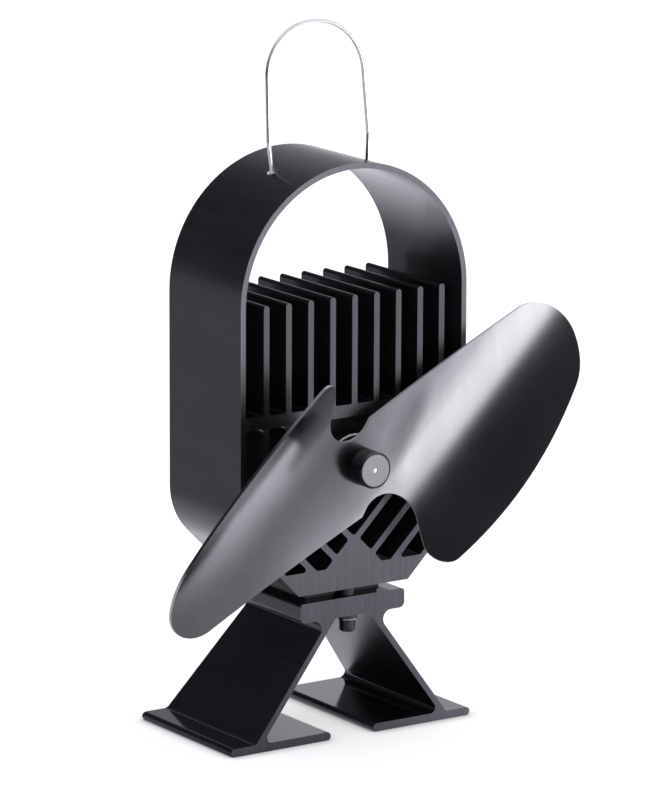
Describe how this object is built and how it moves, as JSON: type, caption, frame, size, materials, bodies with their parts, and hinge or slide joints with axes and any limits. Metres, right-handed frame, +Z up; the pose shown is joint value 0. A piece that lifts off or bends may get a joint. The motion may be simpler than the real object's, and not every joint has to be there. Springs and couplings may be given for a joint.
{
  "type": "heat powered stove fan",
  "caption": "Heat driven fan for a stove top: finned arched heat sink on a splayed stand, pressed blade on a small motor, wire handle.",
  "frame": {"origin": "on the ground, under the middle of the whole outline at rest", "axes": "+X to the right, +Y from the blade to the back, +Z up; the motor axis runs along Y"},
  "size_m": [0.2088, 0.1034, 0.3089],
  "materials": {
    "sawn_aluminium": "satin black coating, front and rear cuts left bare",
    "black_aluminium": "satin black coating, front and rear cuts left bare",
    "blade_aluminium": "fine satin sheet",
    "black_steel": "black oxide",
    "zinc_steel": "zinc plated",
    "motor_steel": "nickel plated drawn steel",
    "core_steel": "laminated",
    "shaft_steel": "ground",
    "nose_steel": "black sides, turned face",
    "wire_steel": "bright wire",
    "dark_fibre": "pressed fibre",
    "graphite": "graphite foil",
    "ceramic": "fired white ceramic",
    "pellet_alloy": "sawn",
    "seal_silicone": "silicone bead",
    "lead_insulation": "silicone insulation",
    "magnet_ferrite": "sintered",
    "bush_bronze": "sintered bronze",
    "cap_plastic": "moulded",
    "cradle_plastic": "moulded heat-resistant plastic",
    "terminal_brass": "tinned",
    "brush_copper": "sprung copper alloy",
    "winding_copper": "enamelled copper",
    "commutator_copper": "turned copper"
  },
  "bodies": {
    "stand": {"base_stand": "sawn_aluminium", "heatsink": "black_aluminium", "clamp_screws": "black_steel", "insulating_sleeves": "dark_fibre", "insulating_washers": "dark_fibre", "spring_washers": "zinc_steel", "hot_side_pad": "graphite", "module_hot_plate": "ceramic", "module_pellets": "pellet_alloy", "module_seal": "seal_silicone", "module_cold_plate": "ceramic", "cold_side_pad": "graphite", "module_leads": "lead_insulation", "motor_can": "motor_steel", "motor_magnets": "magnet_ferrite", "motor_front_bush": "bush_bronze", "motor_rear_bush": "bush_bronze", "motor_end_cap": "cap_plastic", "motor_terminals": "terminal_brass", "motor_brushes": "brush_copper", "motor_cradle": "cradle_plastic"},
    "rotor": {"motor_shaft": "shaft_steel", "armature_core": "core_steel", "armature_windings": "winding_copper", "commutator": "commutator_copper", "fan_blade": "blade_aluminium", "nose_cap": "nose_steel", "hub_collar": "nose_steel", "hub_set_screw": "black_steel"},
    "bail": {"handle": "wire_steel"}
  },
  "joints": [
    {"name": "blade_spin", "type": "hinge", "parent": "stand", "child": "rotor", "pos_m": [0, -0.02916, 0.1212], "axis": [0, -1, 0], "continuous": true},
    {"name": "handle_rock", "type": "hinge", "parent": "stand", "child": "bail", "pos_m": [0, 0.00584, 0.24493], "axis": [1, 0, 0], "range_deg": [-14, 25]}
  ]
}
